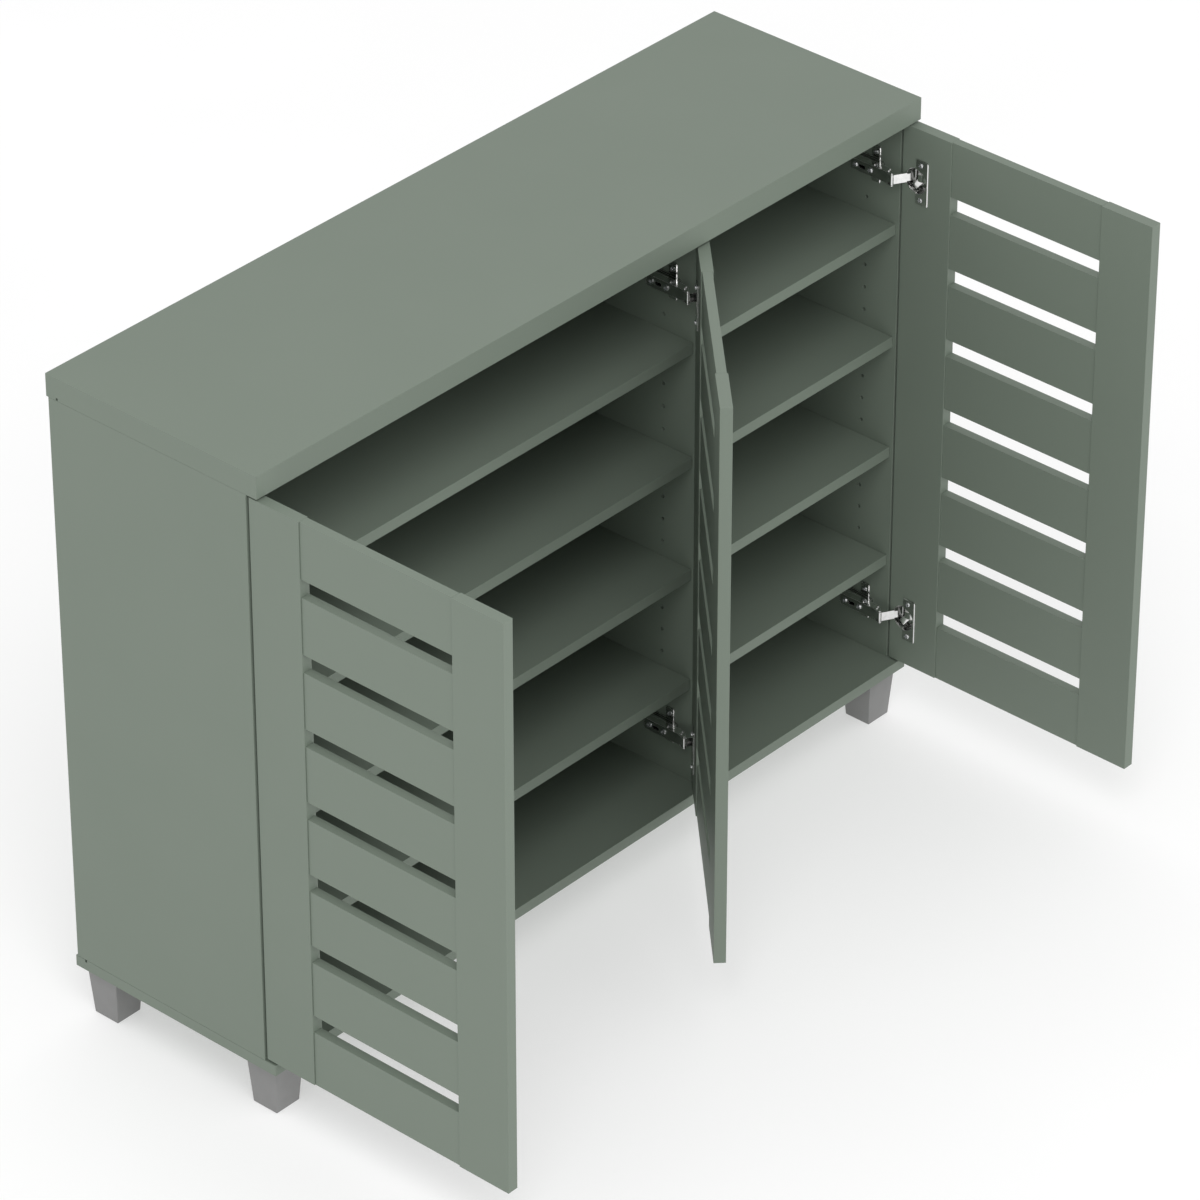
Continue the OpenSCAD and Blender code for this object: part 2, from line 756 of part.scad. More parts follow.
// Mounting plate: a cross with wings up and down, and a riser that carries the arm and starts
// ahead of the cross
module mounting_plate() {
    riser_top = arm_h - arm_t;
    difference() {
        union() {
            board([0, side_y + wing_in + coin, -plate_w / 2], [plate_t, plate_y + plate_l, plate_w / 2]);
            translate([0, plate_screw_y, 0]) rotate([90, 0, 90])
                coined_plate(wing_w, wing_h, wing_corner_r, plate_t);
            board([0, plate_y + riser_in, -riser_w / 2],
                  [riser_top, plate_y + plate_l - riser_in, riser_w / 2]);
        }
        for (k = [-1, 1])
            crosswise(plate_t / 2, plate_screw_y, k * plate_screw_spread / 2, wood_screw_r + fit,
                      plate_t + 2 * over);
        for (y = arm_screw_ys)
            crosswise(riser_top - arm_screw_l / 2, y, 0, arm_screw_r + fit, arm_screw_l + 2 * over);
        board([plate_t, arm_slot_y, -arm_slot_w / 2],
              [riser_top + over, arm_slot_y + arm_slot_l, arm_slot_w / 2]);
    }
}

module mounting_plates(d) {
    color(bright_metal) at_hinges(d) mounting_plate();
}

// One cheek of an arm, seen along the hinge's pin
module arm_cheek() {
    linear_extrude(cheek_t) {
        polygon([[arm_pin_h - ear_r, arm_pin_y], [arm_pin_h + ear_r, arm_pin_y],
                 [arm_h, arm_y + cheek_front_in], [arm_h, arm_y + arm_l],
                 [cheek_low + ear_r, arm_y + arm_l], [cheek_low, arm_y + arm_l - cheek_rake],
                 [cheek_low, arm_y + cheek_front_in]]);
        translate([arm_pin_h, arm_pin_y]) circle(ear_r);
    }
}

// Round heads of a rivet on the outer faces of both cheeks, narrower at the top
module rivet_heads(height, back) {
    for (k = [0, 1])
        mirror([0, 0, k])
            translate([height, back, arm_w / 2])
                cylinder(r1 = rivet_r, r2 = rivet_top_share * rivet_r, h = rivet_head);
}

// Hinge arm: a channel over the riser, with two ears and the pin that the link turns on
module hinge_arm() {
    difference() {
        union() {
            translate([0, 0, arm_w / 2 - cheek_t]) arm_cheek();
            translate([0, 0, -arm_w / 2]) arm_cheek();
            board([arm_h - arm_t, arm_y, -arm_w / 2], [arm_h, arm_y + arm_l, arm_w / 2]);
        }
        for (y = arm_screw_ys)
            crosswise(arm_h - arm_t / 2, y, 0, arm_screw_r + fit, arm_t + 2 * over);
        board([arm_h - arm_t - over, arm_slot_y, -arm_slot_w / 2],
              [arm_h + over, arm_slot_y + arm_slot_l, arm_slot_w / 2]);
    }
    upright(arm_pin_h, arm_pin_y, -arm_w / 2, arm_pin_r, arm_w);
    rivet_heads(arm_pin_h, arm_pin_y);
    for (share = rivet_shares) {
        for (z = [-arm_w / 2, arm_w / 2 - cheek_t])
            upright(share[0] * arm_h, arm_y + share[1] * arm_l, z, rivet_r, cheek_t);
        rivet_heads(share[0] * arm_h, arm_y + share[1] * arm_l);
    }
}

module hinge_arms(d) {
    color(bright_metal) at_hinges(d) hinge_arm();
}

// Link: a flat bar with an eye on the arm's pin and a narrower nose that lies in the cup
module hinge_link(length) {
    difference() {
        union() {
            upright(0, 0, -link_w / 2, link_eye_r, link_w);
            board([0, -link_t / 2, -link_w / 2], [length - link_nose_l, link_t / 2, link_w / 2]);
        }
        upright(0, 0, -link_w / 2 - over, arm_pin_r + fit, link_w + 2 * over);
    }
    board([length - link_nose_l, -link_t / 2, -link_nose_w / 2], [length, link_t / 2, link_nose_w / 2]);
    upright(length, 0, -link_nose_w / 2, link_nose_r, link_nose_w);
}

// Angle of a link where the picture shows its door
function link_angle(d) = 180 + link_start[d] + link_turn[d] * door_open[d] / 90;

// Length of a link, from the arm's pin to the middle of its nose
function link_length(d) = face_s(d) + arm_pin_h - (cup_in - cup_hole_r) - link_rim_gap[d];

module hinge_links(d) {
    color(bright_metal) at_hinges(d)
        translate([arm_pin_h, arm_pin_y, 0]) rotate([0, 0, link_angle(d)]) hinge_link(link_length(d));
}

// Wood screws of all the mounting plates
module plate_screws() {
    color(screw_metal)
        for (d = [0 : 2])
            at_hinges(d)
                for (k = [-1, 1])
                    translate([plate_t, plate_screw_y, k * plate_screw_spread / 2])
                        rotate([0, -90, 0]) screw(wood_screw_r, wood_screw_l, wood_head_r, wood_head_h);
}

// Machine screws that hold the arms on the risers
module arm_screws() {
    color(screw_metal)
        for (d = [0 : 2])
            at_hinges(d)
                for (y = arm_screw_ys)
                    translate([arm_h, y, 0])
                        rotate([0, -90, 0]) screw(arm_screw_r, arm_screw_l, arm_head_r, arm_head_h);
}

worktop();
base_panel();
side_panel(-1);  // left_side
side_panel(1);  // right_side
partition();
back_panel();
shelf_pins();
foot_screws();
base_screws();
cam_fasteners();
cam_bolts();
carcass_dowels();
back_screws();
plate_screws();
arm_screws();

for (bay = [0, 1])
    for (k = [0 : shelf_count - 1])
        shelf(bay, k);

for (i = [0, 1])
    for (j = [0, 1])
        foot((2 * j - 1) * foot_x, foot_ys[i]);

for (d = [0 : 2]) {
    hinge_stile(d);
    free_stile(d);
    door_boards(d, slot_count, slot_count);
    door_boards(d, 0, 0);
    door_boards(d, 1, slot_count - 1);
    door_dowels(d);
    hinge_cups(d);
    cup_screws(d);
    mounting_plates(d);
    hinge_arms(d);
    hinge_links(d);
}
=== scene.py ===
# %% [markdown]
# # A painted cabinet with slotted doors
# The cabinet's boards, feet and hinges come from the CAD model, which is loaded as a fixed
# frame. Blender adds what CAD doesn't have: softened board edges, finishes, the small inner
# parts of the hinges, a floor, light and a camera.

# %% Load the CAD frame
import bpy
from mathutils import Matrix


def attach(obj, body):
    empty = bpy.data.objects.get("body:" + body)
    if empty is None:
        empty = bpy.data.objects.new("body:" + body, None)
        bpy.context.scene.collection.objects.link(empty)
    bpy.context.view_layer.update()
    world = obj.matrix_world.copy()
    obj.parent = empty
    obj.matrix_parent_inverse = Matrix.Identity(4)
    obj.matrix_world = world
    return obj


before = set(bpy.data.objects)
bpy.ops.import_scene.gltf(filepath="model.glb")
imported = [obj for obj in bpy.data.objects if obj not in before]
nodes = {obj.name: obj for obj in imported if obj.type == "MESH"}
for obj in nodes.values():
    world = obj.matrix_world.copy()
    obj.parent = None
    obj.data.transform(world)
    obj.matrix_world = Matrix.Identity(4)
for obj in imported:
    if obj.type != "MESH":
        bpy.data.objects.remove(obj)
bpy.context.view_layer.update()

# %% Blender's own tools
import math
import bmesh
import bpy
from mathutils import Vector
scene = bpy.context.scene
MM = 0.001                                       # one millimetre in Blender's metres
print("nodes in the frame:", len(nodes))

# %% [markdown]
# ## The camera
# The photograph is taken from high on the left with a long lens, which keeps upright lines
# nearly parallel. The lens, place and angles below were found by matching the corners of the
# worktop, base and doors. A target object would work too, but plain angles are easier to read.

# %% Place the camera
FRAME_SIDE = 1200                                # the photograph's width in pixels
FOCAL_PIXELS = 6668.2                            # the focal length in the same pixels
SENSOR = 36.0                                    # millimetres
CAMERA_PLACE = Vector((-4.9468, -4.3829, 4.7911))
FAR_LIMIT = 100.0                                # metres that the camera can see
TURN = 48.301                                    # degrees to the right of straight ahead
TILT = 33.236                                    # degrees down

camera_data = bpy.data.cameras.new("photo_camera")
camera_data.sensor_width = SENSOR
camera_data.lens = FOCAL_PIXELS * SENSOR / FRAME_SIDE
camera_data.clip_end = FAR_LIMIT
camera = bpy.data.objects.new("photo_camera", camera_data)
camera.location = CAMERA_PLACE
camera.rotation_euler = (math.radians(90 - TILT), 0, math.radians(-TURN))
scene.collection.objects.link(camera)
scene.camera = camera
print("lens in mm:", round(camera_data.lens, 1))

# %% [markdown]
# ## A workbench for materials
# Every finish here is a Principled shader with a few noise textures before it. The helpers
# keep that wiring short: one makes a node, sets its values and links its inputs, and the
# others make noise, a two-colour mix and a bump. Object coordinates are in metres, so a
# noise scale of 500 means about two millimetres from bump to bump.

# %% Make one node, set it and link it
def add_node(tree, kind, values=None, links=None, **settings):
    """A node of that kind. values fill its inputs by name or number, and links join outputs to them."""
    node = tree.nodes.new(kind)
    for name, value in settings.items():
        setattr(node, name, value)
    for key, value in (values or {}).items():
        node.inputs[key].default_value = value
    for key, output in (links or {}).items():
        tree.links.new(output, node.inputs[key])
    return node


def start_material(name, **shader_values):
    """A material with a Principled shader. Returns it, its tree, the shader and object coordinates."""
    material = bpy.data.materials.new(name)
    material.use_nodes = True
    tree = material.node_tree
    tree.nodes.clear()
    shader = add_node(tree, "ShaderNodeBsdfPrincipled", shader_values)
    add_node(tree, "ShaderNodeOutputMaterial", links={"Surface": shader.outputs["BSDF"]})
    place = add_node(tree, "ShaderNodeTexCoord").outputs["Object"]
    return material, tree, shader, place


# %% Noise, range, colour mix and bump
def noise(tree, place, scale, detail=2.0, roughness=0.5):
    """A grey noise about its middle value, with scale in bumps per metre."""
    values = {"Scale": scale, "Detail": detail, "Roughness": roughness}
    return add_node(tree, "ShaderNodeTexNoise", values, {"Vector": place}).outputs["Fac"]


def spread(tree, grey, low, high, start=0.3, stop=0.7):
    """Stretches grey from start..stop to low..high."""
    values = {"From Min": start, "From Max": stop, "To Min": low, "To Max": high}
    return add_node(tree, "ShaderNodeMapRange", values, {"Value": grey}).outputs["Result"]


def mix_colours(tree, share, first, second):
    """first where share is 0 and second where it is 1. Each is a colour or an output."""
    node = add_node(tree, "ShaderNodeMix", {}, {"Factor": share}, data_type="RGBA")
    for key, colour in (("A", first), ("B", second)):
        socket = [s for s in node.inputs if s.name == key and s.type == "RGBA"][0]
        if isinstance(colour, tuple):
            socket.default_value = (*colour, 1.0)
        else:
            tree.links.new(colour, socket)
    return [s for s in node.outputs if s.type == "RGBA"][0]


def bump(tree, height, depth, strength=1.0, under=None):
    """A bump of depth metres. under is the normal of a bump that it lies on."""
    links = {"Height": height}
    if under is not None:
        links["Normal"] = under
    values = {"Strength": strength, "Distance": depth}
    return add_node(tree, "ShaderNodeBump", values, links).outputs["Normal"]


# %% [markdown]
# ## Sage green boards
# The boards are covered with a matt sage film. It isn't perfectly flat: pressed film shows the
# board below as a faint orange peel, its gloss changes a little from place to place, and the
# corners that hands touch get slightly paler. All three come from noise and a bevel lookup, so
# nothing has to be painted by hand.

# %% The sage film
SAGE = (0.172, 0.207, 0.169)
SAGE_DEEP = (0.168, 0.203, 0.1655)
SAGE_WORN = (0.230, 0.262, 0.226)
FILM_GLOSS = (0.53, 0.58)                        # the smoothest and the roughest patch
FILM_WEAR = 0.9 * MM                             # how far wear reaches from a corner
ORANGE_PEEL = 0.03 * MM                          # depths of the two bumps
FINE_GRAIN = 0.012 * MM
ALIKE = (0.75, 0.98)                             # cosines between a sharp corner and a flat face
WEAR_RANGE = (0.45, 0.75)                        # where in the noise wear begins and is complete
FILM_CLOUDS = 5.0                                # this and the next five are noise scales
FILM_SPECKS = 900.0
FILM_SCUFFS = 60.0
FILM_PATCHES = 9.0
PEEL_BUMPS = 420.0
GRAIN_BUMPS = 2600.0


def worn_edges(tree, reach):
    """1 along sharp edges and 0 on flat faces, by comparing the true normal with a rounded one."""
    rounded = add_node(tree, "ShaderNodeBevel", {"Radius": reach}, samples=4).outputs["Normal"]
    true = add_node(tree, "ShaderNodeNewGeometry").outputs["Normal"]
    alike = add_node(tree, "ShaderNodeVectorMath", {}, {0: rounded, 1: true}, operation="DOT_PRODUCT")
    return spread(tree, alike.outputs["Value"], 1.0, 0.0, *ALIKE)


def times(tree, first, second):
    """The product of two grey outputs."""
    return add_node(tree, "ShaderNodeMath", {}, {0: first, 1: second}, operation="MULTIPLY").outputs[0]


def sage_film(name):
    material, tree, shader, place = start_material(name, **{"Specular IOR Level": 0.35})
    cloud = spread(tree, noise(tree, place, FILM_CLOUDS, 3.0), 0.0, 1.0)
    speck = spread(tree, noise(tree, place, FILM_SPECKS, 2.0), 0.0, 0.35)
    body = mix_colours(tree, cloud, SAGE, SAGE_DEEP)
    body = mix_colours(tree, speck, body, SAGE_DEEP)
    scuff = spread(tree, noise(tree, place, FILM_SCUFFS, 4.0, 0.7), 0.0, 0.5, *WEAR_RANGE)
    edge = times(tree, worn_edges(tree, FILM_WEAR), scuff)
    tree.links.new(mix_colours(tree, edge, body, SAGE_WORN), shader.inputs["Base Color"])
    gloss = spread(tree, noise(tree, place, FILM_PATCHES, 4.0), *FILM_GLOSS)
    tree.links.new(gloss, shader.inputs["Roughness"])
    peel = bump(tree, noise(tree, place, PEEL_BUMPS, 1.0), ORANGE_PEEL, 0.5)
    grain = bump(tree, noise(tree, place, GRAIN_BUMPS, 2.0), FINE_GRAIN, 0.5, peel)
    tree.links.new(grain, shader.inputs["Normal"])
    return material


sage = sage_film("sage_film")
print("made", sage.name)

# %% [markdown]
# ## The back sheet
# Behind the shelves stands a thin hardboard sheet. Its face has the boards' colour. Its rear
# side keeps the small square mesh of the press, which is two crossed waves, shown only where
# the face looks backwards.

# %% Hardboard
PRESS_LINES = 55.0                               # how closely the mesh of the press is set
PRESS_DEPTH = 0.25 * MM
BACK_CLOUDS = 7.0
BACK_FIBRES = 350.0
REAR_RANGE = (0.2, 0.8)                          # how squarely a face must look backwards


def hardboard(name):
    material, tree, shader, place = start_material(name, Roughness=0.62, **{"Specular IOR Level": 0.3})
    cloud = spread(tree, noise(tree, place, BACK_CLOUDS, 4.0), 0.0, 1.0)
    fibres = spread(tree, noise(tree, place, BACK_FIBRES, 4.0, 0.7), 0.0, 0.5)
    body = mix_colours(tree, cloud, SAGE, SAGE_DEEP)
    body = mix_colours(tree, fibres, body, SAGE_DEEP)
    tree.links.new(body, shader.inputs["Base Color"])
    waves = [
        add_node(tree, "ShaderNodeTexWave", {"Scale": PRESS_LINES, "Distortion": 0.4},
                 {"Vector": place}, bands_direction=way).outputs["Fac"]
        for way in ("X", "Z")
    ]
    mesh = add_node(tree, "ShaderNodeMath", {}, {0: waves[0], 1: waves[1]}, operation="MAXIMUM")
    normal = add_node(tree, "ShaderNodeTexCoord").outputs["Normal"]
    facing = add_node(tree, "ShaderNodeSeparateXYZ", {}, {0: normal}).outputs["Y"]
    rear = spread(tree, facing, 0.0, 1.0, *REAR_RANGE)
    pressed = times(tree, mesh.outputs[0], rear)
    tree.links.new(bump(tree, pressed, PRESS_DEPTH, 0.8), shader.inputs["Normal"])
    return material


back_finish = hardboard("hardboard")
print("made", back_finish.name)

# %% [markdown]
# ## Grey moulded feet
# The feet are moulded plastic with a fine spark-eroded grain, which is what makes such parts
# look dry. A voronoi texture gives the small even pits, and the colour is a neutral grey.

# %% Grained plastic
FOOT_GREY = (0.218, 0.218, 0.216)
FOOT_GREY_PALE = (0.236, 0.236, 0.233)
FOOT_WORN = (0.33, 0.33, 0.325)
FOOT_GLOSS = (0.52, 0.66)
FOOT_WEAR = 1.2 * MM
FOOT_CLOUDS = 30.0
FOOT_RUBS = 180.0
FOOT_PATCHES = 40.0
PITS = 1800.0                                    # pits per metre
PIT_DEPTH = 0.05 * MM


def grained_plastic(name):
    material, tree, shader, place = start_material(name, **{"Specular IOR Level": 0.4})
    cloud = spread(tree, noise(tree, place, FOOT_CLOUDS, 3.0), 0.0, 1.0)
    body = mix_colours(tree, cloud, FOOT_GREY, FOOT_GREY_PALE)
    rub = spread(tree, noise(tree, place, FOOT_RUBS, 4.0, 0.7), 0.0, 0.6, *WEAR_RANGE)
    edge = times(tree, worn_edges(tree, FOOT_WEAR), rub)
    tree.links.new(mix_colours(tree, edge, body, FOOT_WORN), shader.inputs["Base Color"])
    gloss = spread(tree, noise(tree, place, FOOT_PATCHES), *FOOT_GLOSS)
    tree.links.new(gloss, shader.inputs["Roughness"])
    pits = add_node(tree, "ShaderNodeTexVoronoi", {"Scale": PITS}, {"Vector": place})
    tree.links.new(bump(tree, pits.outputs["Distance"], PIT_DEPTH, 0.6), shader.inputs["Normal"])
    return material


plastic = grained_plastic("grained_plastic")
print("made", plastic.name)

# %% [markdown]
# ## Bright hinges and plain screws
# The hinges are stamped steel with a bright nickel plate, close to a mirror. A mirror in a plain
# white room shows the dark shelves and the white room, which is the hard contrast of the
# photograph. Fine rolling lines and a few soft patches keep it from looking like glass. The
# cups and slots get painted shade: an ambient occlusion lookup finds those recesses and darkens
# the plate's colour there towards near black. The sheared edges of the stampings are rough under
# the plate, so they scatter the room's white as a pale line. The screws have a thinner zinc plate.

# %% Plated steel
SHEARED_ROUGHNESS = 0.55
SHEARED_REACH = 0.8 * MM
# painted shade: the near-black colour that deep recesses in the plate are darkened towards
RECESS_SHADE = (0.055, 0.060, 0.052)
RECESS_REACH = 9 * MM                            # how far the lookup feels for nearby walls
RECESS_RANGE = (0.35, 0.80)                      # openness of a deep recess and of a free face
SHEARED_RANGE = (0.1, 0.6)                       # where along an edge the roughness begins and ends
DULL_SHARE = 0.86                                # how bright a dull patch stays
PLATE_CLOUDS = 140.0
PLATE_PATCHES = 260.0
ROLLING_LINES = 700.0
LINE_STRETCH = (1.0, 1.0, 14.0)                  # squeezes noise into fine rolling lines


def plated_steel(name, tint, low, high, line_depth, shade_share=0.0):
    """low and high limit the roughness. The last argument is how much painted shade a deep recess
    takes.
    """
    material, tree, shader, place = start_material(name, Metallic=1.0)
    patch = spread(tree, noise(tree, place, PLATE_CLOUDS, 3.0), 0.0, 1.0)
    dull = tuple(DULL_SHARE * part for part in tint)
    colour = mix_colours(tree, patch, tint, dull)
    # painted shade: where the occlusion lookup finds a recess, the colour is darkened towards near
    # black
    if shade_share:
        walls = add_node(tree, "ShaderNodeAmbientOcclusion", {"Distance": RECESS_REACH}, samples=8)
        shade_mask = spread(tree, walls.outputs["AO"], shade_share, 0.0, *RECESS_RANGE)
        colour = mix_colours(tree, shade_mask, colour, RECESS_SHADE)
    tree.links.new(colour, shader.inputs["Base Color"])
    gloss = spread(tree, noise(tree, place, PLATE_PATCHES, 4.0), low, high)
    sheared = spread(tree, worn_edges(tree, SHEARED_REACH), 0.0, SHEARED_ROUGHNESS, *SHEARED_RANGE)
    rough = add_node(tree, "ShaderNodeMath", {}, {0: gloss, 1: sheared}, operation="MAXIMUM")
    tree.links.new(rough.outputs[0], shader.inputs["Roughness"])
    long_way = add_node(tree, "ShaderNodeMapping", {"Scale": LINE_STRETCH}, {"Vector": place})
    lines = noise(tree, long_way.outputs[0], ROLLING_LINES, 2.0)
    tree.links.new(bump(tree, lines, line_depth, 0.5), shader.inputs["Normal"])
    return material


NICKEL = (0.86, 0.86, 0.85)
SPRING = (0.90, 0.90, 0.89)
ZINC = (0.72, 0.73, 0.74)
# the nickel gets painted shade in its cups and slots
nickel = plated_steel("bright_nickel", NICKEL, low=0.08, high=0.20, line_depth=0.004 * MM, shade_share=0.6)
spring_steel = plated_steel("spring_steel", SPRING, low=0.12, high=0.24, line_depth=0.004 * MM)
zinc = plated_steel("zinc_plate", ZINC, low=0.12, high=0.26, line_depth=0.006 * MM)
print("made", nickel.name + ",", spring_steel.name, "and", zinc.name)

# %% [markdown]
# ## Beech dowels
# The dowels are inside the boards and show only where a board is lifted off. They still get a
# finish: stretched noise for the grain and short dark dashes, the rays that beech always has.

# %% Beech
BEECH = (0.56, 0.36, 0.18)
BEECH_DEEP = (0.46, 0.28, 0.13)
BEECH_RAY = (0.28, 0.15, 0.07)
GRAIN_LINES = 900.0
RAY_DASHES = 2400.0
RAY_RANGE = (0.58, 0.70)                         # only the peaks of the noise become rays
GRAIN_STRETCH = (0.15, 1.0, 1.0)
GRAIN_DEPTH = 0.05 * MM


def beech_wood(name):
    material, tree, shader, place = start_material(name, Roughness=0.55)
    along = add_node(tree, "ShaderNodeMapping", {"Scale": GRAIN_STRETCH}, {"Vector": place}).outputs[0]
    grain = spread(tree, noise(tree, along, GRAIN_LINES, 4.0), 0.0, 1.0)
    rays = spread(tree, noise(tree, along, RAY_DASHES, 2.0), 0.0, 0.7, *RAY_RANGE)
    body = mix_colours(tree, grain, BEECH, BEECH_DEEP)
    tree.links.new(mix_colours(tree, rays, body, BEECH_RAY), shader.inputs["Base Color"])
    tree.links.new(bump(tree, grain, GRAIN_DEPTH, 0.4), shader.inputs["Normal"])
    return material


beech = beech_wood("beech")
print("made", beech.name)

# %% [markdown]
# ## Give every CAD node its finish
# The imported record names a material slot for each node's mesh. Reading the slot from the
# imported mesh keeps the two in step: a node that changes its slot in CAD changes here as well.

# %% Swap the plain CAD materials
FINISHES = {
    "painted_board": sage,
    "back_sheet": back_finish,
    "foot_plastic": plastic,
    "hinge_metal": nickel,
    "screw_metal": zinc,
    "beech_dowel": beech,
}
by_finish = {name: [] for name in FINISHES}
for name, node in nodes.items():
    for place in node.material_slots:
        by_finish[place.material.name].append(name)
        place.material = FINISHES[place.material.name]
for name, members in by_finish.items():
    print(name, "is on", len(members), "nodes")

# %% [markdown]
# ## Softened edges
# No real board has a perfectly sharp edge, and a thin highlight along it is what makes it look
# solid. Bevelling everything would spoil the small pin holes, so a geometry node group first
# joins the imported corners and gives a bevel weight to the sharp edges that are long enough.
# The bevel modifier then follows those weights, and the CAD mesh below stays as it was.

# %% Mark the edges to be softened
JOINED = 0.01 * MM                               # corners closer than this become one
SHARP_FOLD = math.radians(35)


def edge_marker(name, shortest, smooth):
    """Gives sharp edges longer than shortest a bevel weight. smooth shades all the faces smooth."""
    group = bpy.data.node_groups.new(name, "GeometryNodeTree")
    group.interface.new_socket("Geometry", in_out="INPUT", socket_type="NodeSocketGeometry")
    group.interface.new_socket("Geometry", in_out="OUTPUT", socket_type="NodeSocketGeometry")
    source = group.nodes.new("NodeGroupInput").outputs[0]
    joined = add_node(group, "GeometryNodeMergeByDistance", {"Distance": JOINED}, {0: source})
    plain = add_node(group, "GeometryNodeRemoveAttribute", {"Name": "custom_normal"},
                     {0: joined.outputs[0]})
    shaded = add_node(group, "GeometryNodeSetShadeSmooth", {"Shade Smooth": smooth},
                      {0: plain.outputs[0]})
    ends = add_node(group, "GeometryNodeInputMeshEdgeVertices").outputs
    apart = add_node(group, "ShaderNodeVectorMath", {}, {0: ends["Position 1"], 1: ends["Position 2"]},
                     operation="DISTANCE")
    long = add_node(group, "FunctionNodeCompare", {1: shortest}, {0: apart.outputs["Value"]},
                    data_type="FLOAT", operation="GREATER_THAN")
    fold = add_node(group, "GeometryNodeInputMeshEdgeAngle").outputs["Unsigned Angle"]
    sharp = add_node(group, "FunctionNodeCompare", {1: SHARP_FOLD}, {0: fold},
                     data_type="FLOAT", operation="GREATER_THAN")
    both = add_node(group, "FunctionNodeBooleanMath", {}, {0: long.outputs[0], 1: sharp.outputs[0]},
                    operation="AND")
    marked = add_node(group, "GeometryNodeStoreNamedAttribute", {"Name": "bevel_weight_edge"},
                      {"Geometry": shaded.outputs[0], "Value": both.outputs[0]},
                      data_type="FLOAT", domain="EDGE")
    done = group.nodes.new("NodeGroupOutput")
    group.links.new(marked.outputs[0], done.inputs[0])
    return group


def soften(node, marker, width, segments=2):
    """Rounds the marked edges of a node with modifiers; its own mesh stays as it is."""
    node.modifiers.new("marked_edges", "NODES").node_group = marker
    bevel = node.modifiers.new("soft_edges", "BEVEL")
    bevel.limit_method = "WEIGHT"
    bevel.width = width
    bevel.segments = segments
    bevel.use_clamp_overlap = False


# %% [markdown]
# Stamped metal has rounder corners for its size, and they catch the light as bright lines. Its
# flat faces come in as thin triangles, which a bevel would fold over. So a planar decimate
# first joins each flat face into one, and the bevel then takes every corner by its angle. The
# parts are thin, and the overlap limit keeps the rounds in bounds.

# %% The same for stamped metal
FLAT_FOLD = math.radians(0.5)
METAL_FOLD = math.radians(40)


def soften_metal(node, marker, width):
    node.modifiers.new("joined_corners", "NODES").node_group = marker
    flat = node.modifiers.new("whole_faces", "DECIMATE")
    flat.decimate_type = "DISSOLVE"
    flat.angle_limit = FLAT_FOLD
    bevel = node.modifiers.new("soft_edges", "BEVEL")
    bevel.limit_method = "ANGLE"
    bevel.angle_limit = METAL_FOLD
    bevel.width = width
    bevel.segments = 2
    bevel.use_clamp_overlap = True
    bevel.harden_normals = True


# %% Soften the boards, the feet and the metal
SHORTEST_EDGE = 11 * MM                          # the rims of holes are made of shorter ones
BOARD_ROUND = 0.45 * MM
OTHER_ROUNDS = {                                 # a crisp worktop, and softer ends of the film
    "worktop": 0.2 * MM,
    "left_side": 0.8 * MM,
    "right_side": 0.8 * MM,
}
FOOT_ROUND = 1.2 * MM
METAL_ROUND = 0.3 * MM
flat_marker = edge_marker("long_board_edges", SHORTEST_EDGE, False)
round_marker = edge_marker("metal_corners", SHORTEST_EDGE, True)
for name in by_finish["painted_board"]:
    soften(nodes[name], flat_marker, OTHER_ROUNDS.get(name, BOARD_ROUND))
for name in by_finish["foot_plastic"]:
    soften(nodes[name], flat_marker, FOOT_ROUND, 3)
for name in by_finish["hinge_metal"]:
    soften_metal(nodes[name], round_marker, METAL_ROUND)
softened = sum(len(by_finish[finish]) for finish in ("painted_board", "foot_plastic", "hinge_metal"))
print("softened", softened, "nodes")

# %% [markdown]
# ## Spring leaves in the hinge cups
# A steel leaf in each cup presses on the link and snaps the door shut. It is too thin and too
# hidden for the CAD model, but it shows as a small shining patch. It could be a squeezed box,
# but rows of points with a solidify modifier give a thin sheet that bows and curls. The points
# are measured on the door as it lies flat: along from the hinge edge, in from the outer face,
# and up from the hinge's middle. A short function carries them to where each door stands.

# %% From a door's own measures to the frame
HINGE_HEIGHTS = (0.156, 0.790)
DOOR_PLACES = {
    # outer corner at the hinge edge, way along the door, way through the door
    "left": ((-0.5735, 0.032, 0), (0, -1, 0), (1, 0, 0)),
    "centre": ((0.1929, 0.025, 0), (-1, -1, 0), (-1, 1, 0)),
    "right": ((0.5735, 0.032, 0), (0, -1, 0), (-1, 0, 0)),
}


def on_door(door, along, inward, height):
    corner, way, through = (Vector(part) for part in DOOR_PLACES[door])
    return corner + way.normalized() * along + through.normalized() * inward + Vector((0, 0, height))


for door in DOOR_PLACES:
    corner = on_door(door, 0, 0, HINGE_HEIGHTS[0])
    print(door, "door, corner by the lower hinge:", [round(part, 3) for part in corner])

# %% One leaf: a leaning sheet that rises from the block in the cup, with a curled tip
LEAF_FOOT = ((20.2, 3.3, -0.3), (26.4, 3.3, -5.1))       # along, in and up, in millimetres
LEAF_TIP = ((14.3, 10.8, -7.8), (20.5, 10.8, -13.2))
LEAF_CURL = (-0.6, -0.8, -0.8)                   # from the tip on, in the same three measures
CURL_SHARES = (0.6, 1.0)
LEAF_BOW = 0.3                                   # millimetres at half height
LEAF_THICK = 0.5 * MM
LEAF_ROUND = 0.12 * MM


def leaf_rows(steps=6):
    """Pairs of points from the foot to the tip, with a slight bow, and then the curl."""
    rows = []
    for step in range(steps + 1):
        part = step / steps
        bow = (0, LEAF_BOW * math.sin(math.pi * part), 0)
        rows.append([
            tuple(f + part * (t - f) + b for f, t, b in zip(foot, tip, bow))
            for foot, tip in zip(LEAF_FOOT, LEAF_TIP)
        ])
    for share in CURL_SHARES:
        rows.append([tuple(t + share * c for t, c in zip(tip, LEAF_CURL)) for tip in LEAF_TIP])
    return rows


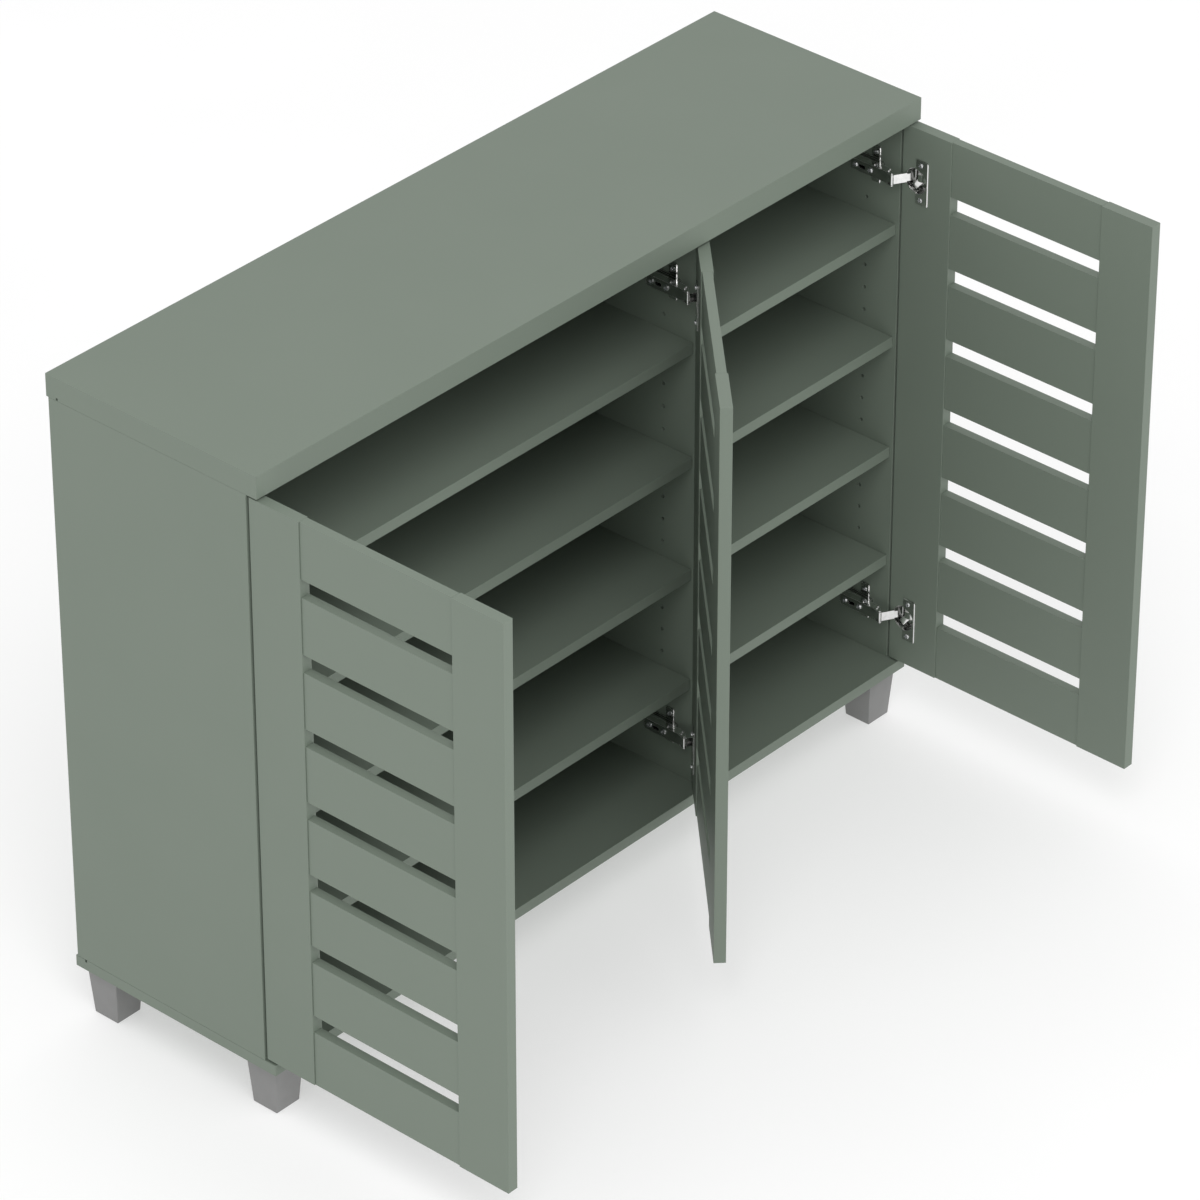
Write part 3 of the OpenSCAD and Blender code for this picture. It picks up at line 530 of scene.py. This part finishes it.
def spring_leaves(door):
    form = bmesh.new()
    for height in HINGE_HEIGHTS:
        rows = [
            [form.verts.new(on_door(door, a * MM, i * MM, height + h * MM)) for a, i, h in row]
            for row in leaf_rows()
        ]
        for low, high in zip(rows, rows[1:]):
            form.faces.new((low[0], low[1], high[1], high[0]))
    for face in form.faces:
        face.smooth = True
    mesh = bpy.data.meshes.new(door + "_spring_leaves")
    form.to_mesh(mesh)
    form.free()
    leaves = bpy.data.objects.new(mesh.name, mesh)
    scene.collection.objects.link(leaves)
    mesh.materials.append(spring_steel)
    thick = leaves.modifiers.new("sheet", "SOLIDIFY")
    thick.thickness = LEAF_THICK
    edge = leaves.modifiers.new("soft_edges", "BEVEL")
    edge.width = LEAF_ROUND
    edge.segments = 2
    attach(leaves, door + "_door")
    return leaves


for door in DOOR_PLACES:
    print("made", spring_leaves(door).name)

# %% [markdown]
# ## Floor and light
# The photograph has an even, shadowless studio: light comes from everywhere, and only the
# insides get dark because little of the room can reach them. A white world over a large pale
# floor gives just that. The floor returns much of the light and glows a little by itself, so the
# upright faces are nearly as bright as the top and the cabinet's shadow stays pale.

# %% A pale floor
FLOOR_RADIUS = 14.0
FLOOR_GREYS = ((0.57, 0.57, 0.57), (0.59, 0.59, 0.59))
FLOOR_CLOUDS = 1.5
FLOOR_GLOW = 0.42
WHITE = (1.0, 1.0, 1.0, 1.0)


def pale_floor(radius):
    mesh = bpy.data.meshes.new("studio_floor")
    form = bmesh.new()
    bmesh.ops.create_circle(form, cap_ends=True, radius=radius, segments=96)
    form.to_mesh(mesh)
    form.free()
    floor = bpy.data.objects.new("studio_floor", mesh)
    scene.collection.objects.link(floor)
    dry = {"Roughness": 0.9, "Specular IOR Level": 0.1}
    material, tree, shader, place = start_material("studio_paper", **dry)
    cloud = spread(tree, noise(tree, place, FLOOR_CLOUDS, 2.0), 0.0, 1.0)
    tree.links.new(mix_colours(tree, cloud, *FLOOR_GREYS), shader.inputs["Base Color"])
    shader.inputs["Emission Color"].default_value = WHITE
    shader.inputs["Emission Strength"].default_value = FLOOR_GLOW
    mesh.materials.append(material)
    return floor


floor = pale_floor(FLOOR_RADIUS)
print("floor radius in metres:", round(floor.dimensions.x / 2, 2))

# %% A white room
ROOM_LIGHT = 0.90
room = bpy.data.worlds.new("white_room")
room.use_nodes = True
sky = room.node_tree.nodes["Background"].inputs
sky["Color"].default_value = WHITE
sky["Strength"].default_value = ROOM_LIGHT
scene.world = room
scene.view_settings.view_transform = "Standard"
scene.view_settings.look = "None"
print("room light:", ROOM_LIGHT)

# %% [markdown]
# ## Two large softboxes
# A white room alone leaves the shelves too dark. A weak, very large softbox near the camera's
# own direction sends some light in between the doors, and its shadows fall behind the cabinet,
# where the camera sees little of them. A second, much weaker one stands low on the right. It
# opens up the narrow bay and the sides that face that way.

# %% Hang the softboxes
LIT_POINT = Vector((0, 0, 0.45))                 # the middle of the cabinet
SOFTBOX_AWAY = 5.5
SOFTBOX_WIDTH = 2.8


def softbox(name, side, height, power):
    """side is degrees round from the cabinet's front, to its right, and height is degrees up."""
    turn, lift = math.radians(side), math.radians(height)
    away = Vector((math.sin(turn) * math.cos(lift), -math.cos(turn) * math.cos(lift), math.sin(lift)))
    lamp = bpy.data.lights.new(name, "AREA")
    lamp.shape = "DISK"
    lamp.size = SOFTBOX_WIDTH
    lamp.energy = power
    hung = bpy.data.objects.new(name, lamp)
    hung.location = LIT_POINT + away * SOFTBOX_AWAY
    hung.rotation_euler = away.to_track_quat("Z", "Y").to_euler()
    hung.visible_camera = False
    scene.collection.objects.link(hung)
    return hung


SOFTBOXES = (                                    # name, degrees round, degrees up, watts
    ("front_softbox", -46.0, 50.0, 84.0),
    ("side_softbox", 14.0, 16.0, 22.0),
)
for name, side, height, power in SOFTBOXES:
    hung = softbox(name, side, height, power)
    print(hung.name, "hangs at", [round(part, 2) for part in hung.location])
